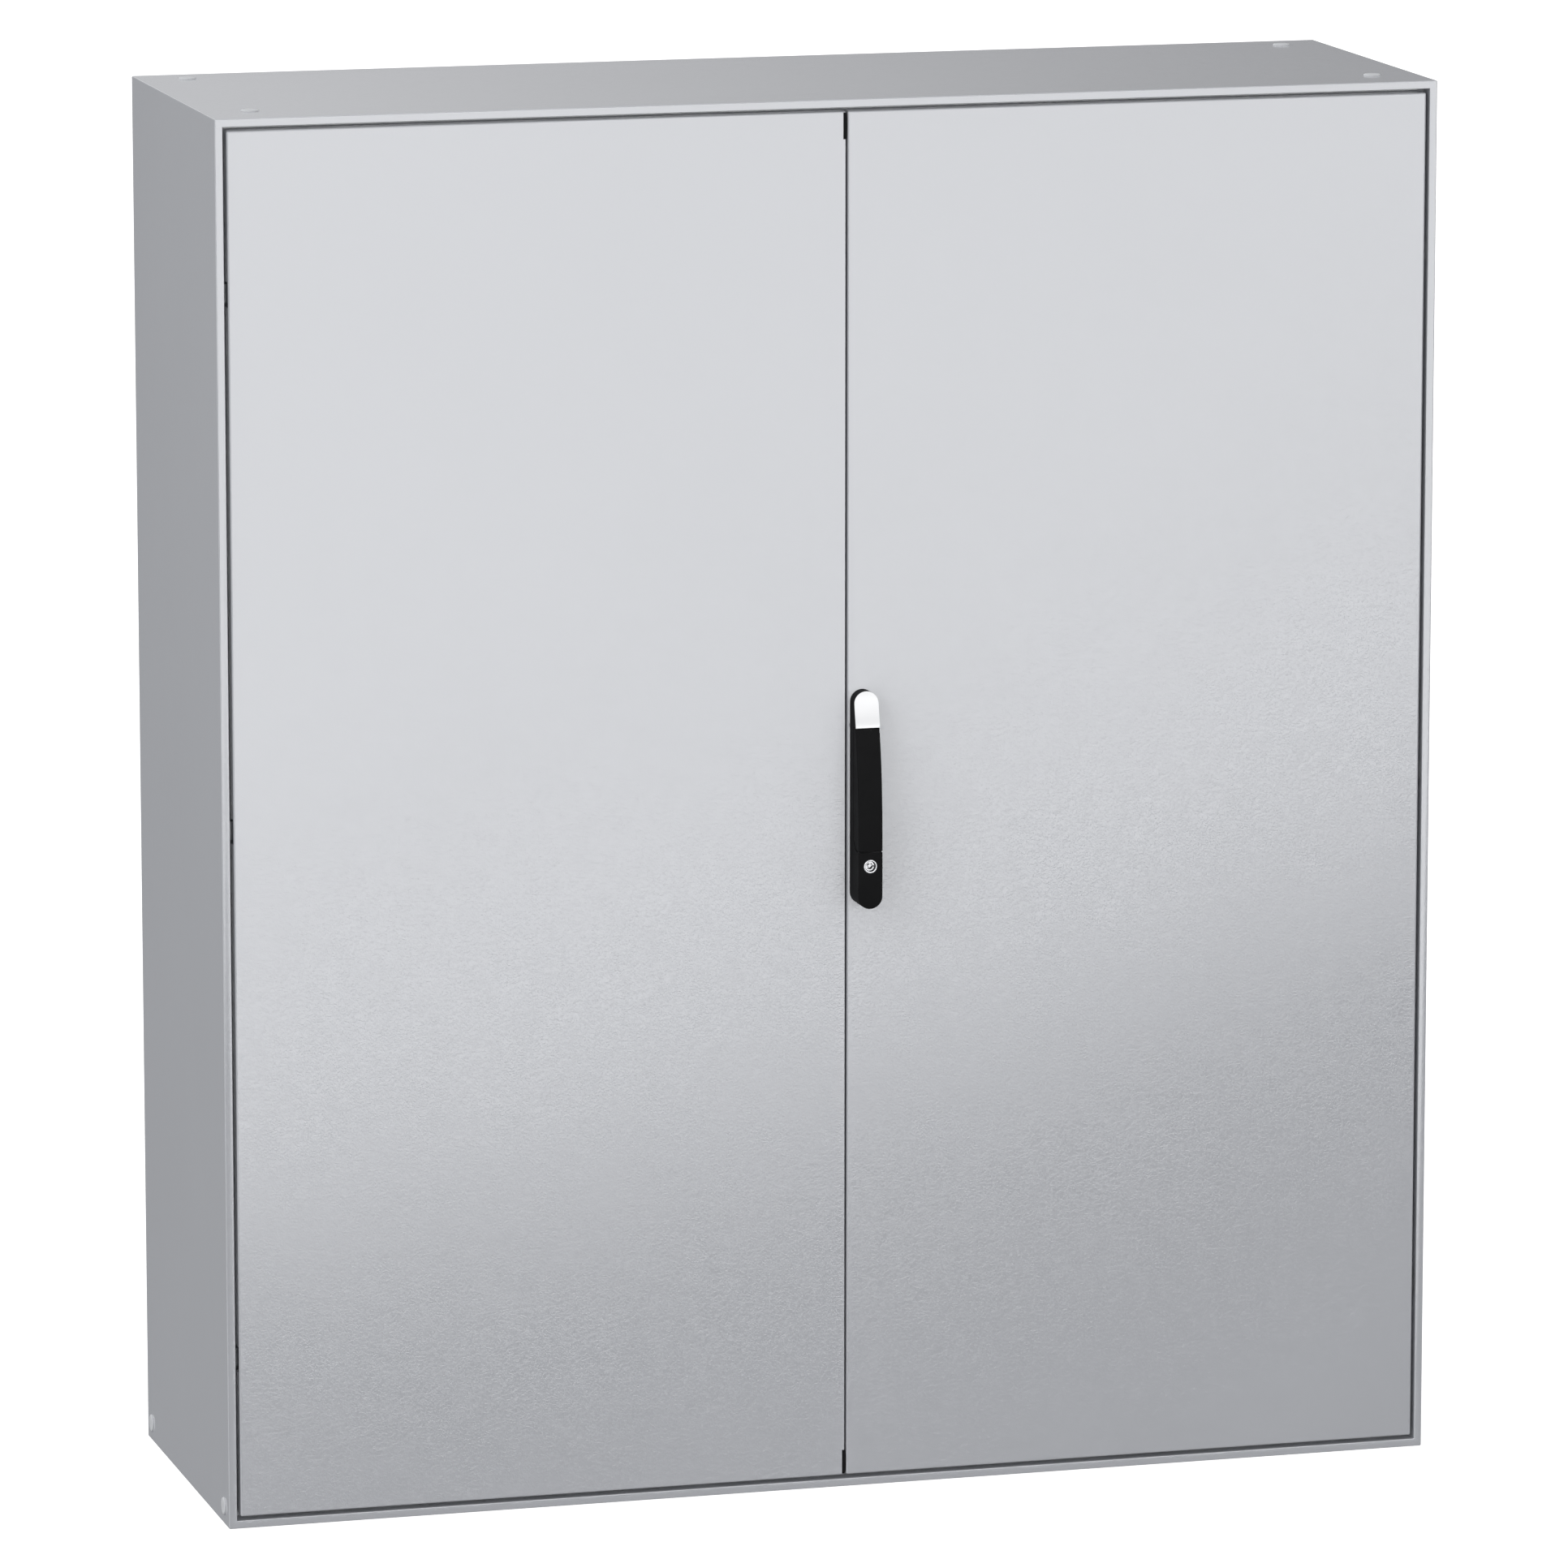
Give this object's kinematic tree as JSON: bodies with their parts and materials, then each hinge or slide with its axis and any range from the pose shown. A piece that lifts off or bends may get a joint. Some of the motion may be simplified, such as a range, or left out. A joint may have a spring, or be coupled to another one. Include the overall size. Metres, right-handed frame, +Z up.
{
  "type": "switchboard cabinet",
  "caption": "Wide floor-standing two-door steel switchboard cabinet with concealed hinges, swing-lever rod lock, mounting plate and gland plate.",
  "frame": {"origin": "middle of the cabinet's footprint box on the floor, at the height of the underside of the body", "axes": "+Z up, +X to the viewer's right when facing the doors, +Y from the doors towards the rear panel"},
  "size_m": [1.604, 0.546, 1.802],
  "materials": {
    "grey_powder_coat": "fine structured powder coat, light grey, satin",
    "zinc_plate": "zinc plated sheet steel",
    "bright_steel": "turned bright steel",
    "black_plastic": "fine-grained moulded black polyamide",
    "white_plastic": "smooth moulded white plastic",
    "seal_foam": "closed-cell foamed polyurethane seal",
    "diecast_zinc": "bright plated die-cast zinc"
  },
  "bodies": {
    "cabinet": {"body_shell": "grey_powder_coat", "rear_panel": "grey_powder_coat", "gland_plate": "zinc_plate", "mounting_plate": "zinc_plate", "plate_bracket_left_bottom": "zinc_plate", "plate_bracket_left_top": "zinc_plate", "plate_bracket_right_bottom": "zinc_plate", "plate_bracket_right_top": "zinc_plate", "roof_plug_left_front": "grey_powder_coat", "roof_plug_left_rear": "grey_powder_coat", "roof_plug_right_front": "grey_powder_coat", "roof_plug_right_rear": "grey_powder_coat", "side_plug_left_front": "grey_powder_coat", "side_plug_left_rear": "grey_powder_coat", "side_plug_right_front": "grey_powder_coat", "side_plug_right_rear": "grey_powder_coat", "hinge_bracket_left_bottom": "zinc_plate", "hinge_bracket_left_middle": "zinc_plate", "hinge_bracket_left_top": "zinc_plate", "hinge_bracket_right_bottom": "zinc_plate", "hinge_bracket_right_middle": "zinc_plate", "hinge_bracket_right_top": "zinc_plate", "hinge_pin_left_bottom": "bright_steel", "hinge_pin_left_middle": "bright_steel", "hinge_pin_left_top": "bright_steel", "hinge_pin_right_bottom": "bright_steel", "hinge_pin_right_middle": "bright_steel", "hinge_pin_right_top": "bright_steel", "rod_keeper_top": "zinc_plate", "rod_keeper_bottom": "zinc_plate"},
    "left_door": {"left_door_panel": "grey_powder_coat", "left_door_gasket": "seal_foam", "meeting_seal": "seal_foam", "hinge_leaf_left_bottom": "zinc_plate", "hinge_leaf_left_middle": "zinc_plate", "hinge_leaf_left_top": "zinc_plate", "flush_bolt_housing_top": "black_plastic", "flush_bolt_housing_bottom": "black_plastic", "notch_plug_top": "black_plastic", "notch_plug_bottom": "black_plastic"},
    "right_door": {"right_door_panel": "grey_powder_coat", "right_door_gasket": "seal_foam", "hinge_leaf_right_bottom": "zinc_plate", "hinge_leaf_right_middle": "zinc_plate", "hinge_leaf_right_top": "zinc_plate", "handle_base": "black_plastic", "lock_barrel": "diecast_zinc", "gearbox_case": "zinc_plate", "rod_guide_top": "black_plastic", "rod_guide_bottom": "black_plastic"},
    "handle": {"handle_rotor": "black_plastic", "handle_cap": "white_plastic", "drive_pinion": "bright_steel", "lever_pin": "bright_steel"},
    "lever": {"handle_lever": "black_plastic"},
    "lock_core": {"lock_core": "diecast_zinc"},
    "top_rod": {"lock_rod_top": "zinc_plate"},
    "bottom_rod": {"lock_rod_bottom": "zinc_plate"},
    "top_bolt": {"flush_bolt_top": "zinc_plate"},
    "bottom_bolt": {"flush_bolt_bottom": "zinc_plate"}
  },
  "joints": [
    {"name": "left_door_swing", "type": "hinge", "parent": "cabinet", "child": "left_door", "pos_m": [-0.777, -0.225, 0.9], "axis": [0, 0, -1], "range_deg": [0, 120]},
    {"name": "right_door_swing", "type": "hinge", "parent": "cabinet", "child": "right_door", "pos_m": [0.777, -0.225, 0.9], "axis": [0, 0, 1], "range_deg": [0, 120]},
    {"name": "handle_turn", "type": "hinge", "parent": "right_door", "child": "handle", "pos_m": [0.0345, -0.251, 1.0295], "axis": [0, -1, 0], "range_deg": [0, 90]},
    {"name": "lever_lift", "type": "hinge", "parent": "handle", "child": "lever", "pos_m": [0.0345, -0.2538, 0.9952], "axis": [-1, 0, 0], "range_deg": [0, 35]},
    {"name": "lock_turn", "type": "hinge", "parent": "right_door", "child": "lock_core", "pos_m": [0.0345, -0.2545, 0.8223], "axis": [0, -1, 0], "range_deg": [0, 90]},
    {"name": "top_rod_slide", "type": "slide", "parent": "right_door", "child": "top_rod", "axis": [0, 0, -1], "range_m": [0, 0.016]},
    {"name": "bottom_rod_slide", "type": "slide", "parent": "right_door", "child": "bottom_rod", "axis": [0, 0, 1], "range_m": [0, 0.016]},
    {"name": "top_bolt_slide", "type": "slide", "parent": "left_door", "child": "top_bolt", "axis": [0, 0, -1], "range_m": [0, 0.014]},
    {"name": "bottom_bolt_slide", "type": "slide", "parent": "left_door", "child": "bottom_bolt", "axis": [0, 0, 1], "range_m": [0, 0.014]}
  ],
  "couplings": [
    {"joint": "top_rod_slide", "follows": "handle_turn", "m_per_rad": 0.01},
    {"joint": "bottom_rod_slide", "follows": "handle_turn", "m_per_rad": 0.01}
  ]
}
